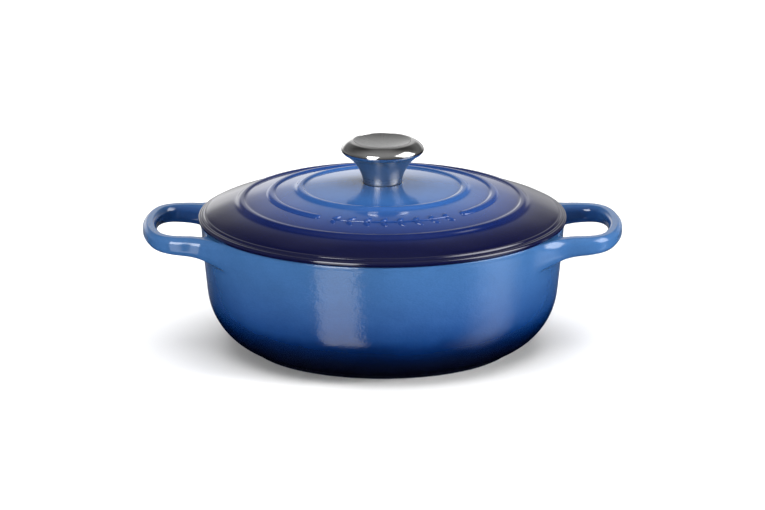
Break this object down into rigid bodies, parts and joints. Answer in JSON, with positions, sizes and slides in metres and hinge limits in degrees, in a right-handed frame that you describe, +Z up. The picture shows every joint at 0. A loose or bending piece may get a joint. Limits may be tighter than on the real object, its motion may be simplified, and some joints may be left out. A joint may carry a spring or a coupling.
{
  "type": "dutch oven",
  "caption": "Shallow round enamelled cast iron pot with loop handles at the rim, a domed lid with raised rings and a screwed-on flared steel knob.",
  "frame": {"origin": "centre of the foot ring on the plane that the pot stands on", "axes": "+Z up, the handles out along +X and -X, the front towards -Y"},
  "size_m": [0.3244, 0.249, 0.1425],
  "materials": {
    "pot_enamel": "gloss blue enamel, darkening to near black at the foot",
    "lid_enamel": "gloss blue enamel, darkening to navy at the edge",
    "gasket_rubber": "matte",
    "knob_steel": "polished, brushed on the cap",
    "fastener_steel": "satin"
  },
  "bodies": {
    "pot": {"pot": "pot_enamel"},
    "knob": {"knob_shell": "knob_steel", "knob_cap": "knob_steel", "knob_bush": "fastener_steel"},
    "lid": {"lid": "lid_enamel", "knob_gasket": "gasket_rubber"},
    "washers": {"screw_washer": "fastener_steel", "spring_washer": "fastener_steel"},
    "screw": {"knob_screw": "fastener_steel"}
  },
  "joints": [
    {"name": "lid_lift", "type": "slide", "parent": "pot", "child": "knob", "axis": [0, 0, 1], "range_m": [0, 0.12]},
    {"name": "lid_turn", "type": "hinge", "parent": "knob", "child": "lid", "pos_m": [0, 0, 0.1], "axis": [0, 0, 1], "continuous": true},
    {"name": "screw_drop", "type": "slide", "parent": "knob", "child": "washers", "axis": [0, 0, -1], "range_m": [0, 0.009]},
    {"name": "screw_turn", "type": "hinge", "parent": "washers", "child": "screw", "pos_m": [0, 0, 0.104], "axis": [0, 0, -1], "range_deg": [0, 3240]}
  ],
  "couplings": [
    {"joint": "screw_turn", "follows": "screw_drop", "rad_per_m": 6283.2}
  ]
}
